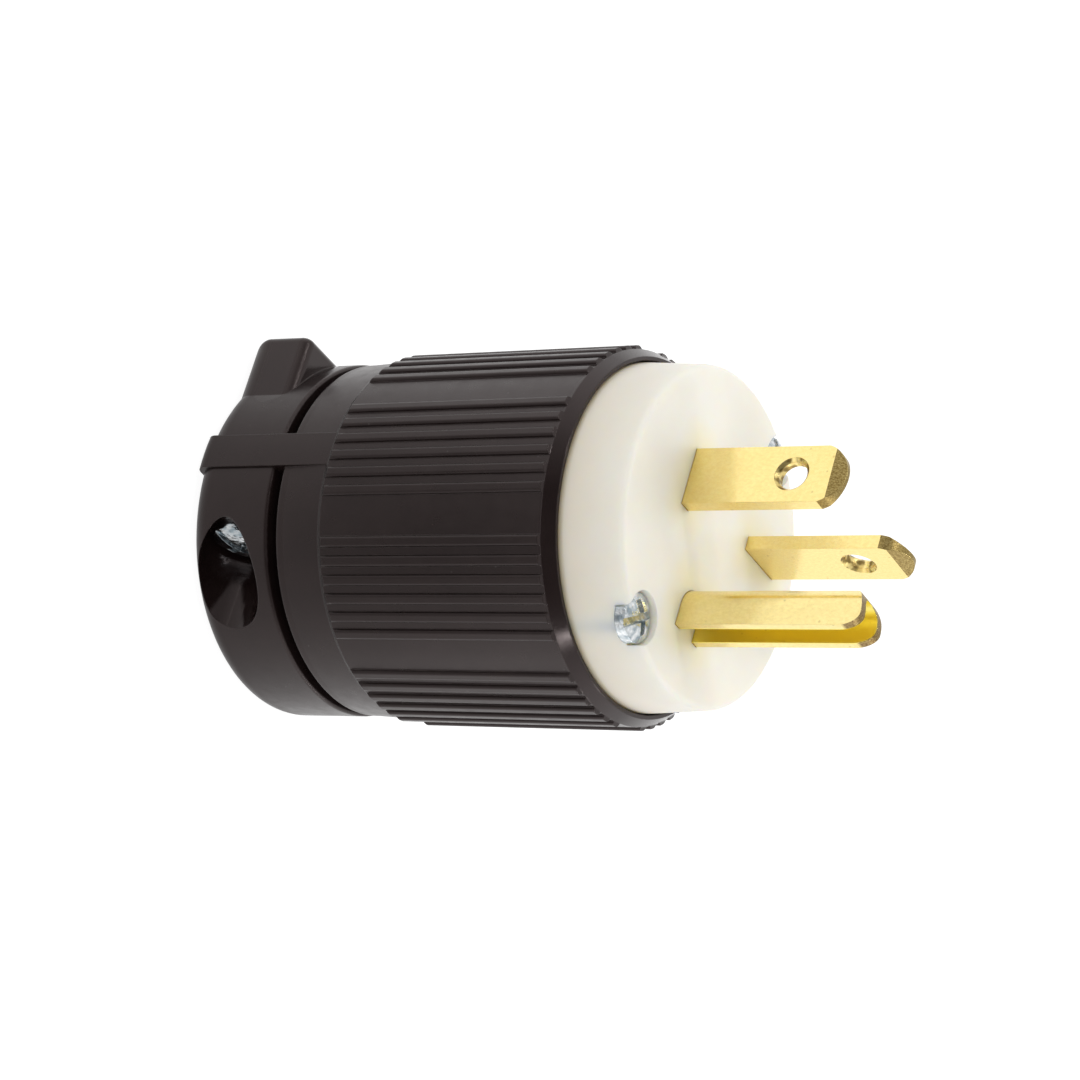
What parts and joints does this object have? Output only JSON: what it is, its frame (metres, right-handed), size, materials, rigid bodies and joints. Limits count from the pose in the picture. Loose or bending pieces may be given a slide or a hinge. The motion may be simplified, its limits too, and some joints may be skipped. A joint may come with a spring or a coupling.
{
  "type": "straight blade plug",
  "caption": "Rewirable round straight blade power plug with ribbed black housing, white blade carrier, brass blades, folded ground pin and a two-jaw cord clamp.",
  "frame": {"origin": "on the plug axis, in the plane of the cord end that the plug stands on", "axes": "+Z along the plug from the cord end to the blade tips, +Y away from the ground pin, +X toward the level blade"},
  "size_m": [0.0392, 0.0392, 0.0723],
  "materials": {
    "black_nylon": "satin moulded black nylon",
    "white_nylon": "smooth translucent cream white nylon",
    "retainer_nylon": "moulded dark nylon",
    "blade_brass": "bright rolled brass",
    "brass_screw": "turned brass",
    "plated_screw": "nickel plated",
    "green_screw": "green dyed plating",
    "plate_steel": "zinc plated strip",
    "zinc_steel": "bright blue zinc plated"
  },
  "bodies": {
    "root": {"housing": "black_nylon", "face_body": "white_nylon", "rear_retainer": "retainer_nylon", "hot_blade": "blade_brass", "neutral_blade": "blade_brass", "ground_pin": "blade_brass", "hot_terminal_screw": "brass_screw", "neutral_terminal_screw": "plated_screw", "ground_terminal_screw": "green_screw", "hot_clamp_plate": "plate_steel", "neutral_clamp_plate": "plate_steel", "ground_clamp_plate": "plate_steel", "assembly_screw_low": "zinc_steel", "assembly_screw_high": "zinc_steel", "upper_clamp_jaw": "black_nylon", "lower_clamp_jaw": "black_nylon", "clamp_screw_left": "zinc_steel", "clamp_screw_right": "zinc_steel"}
  },
  "joints": []
}
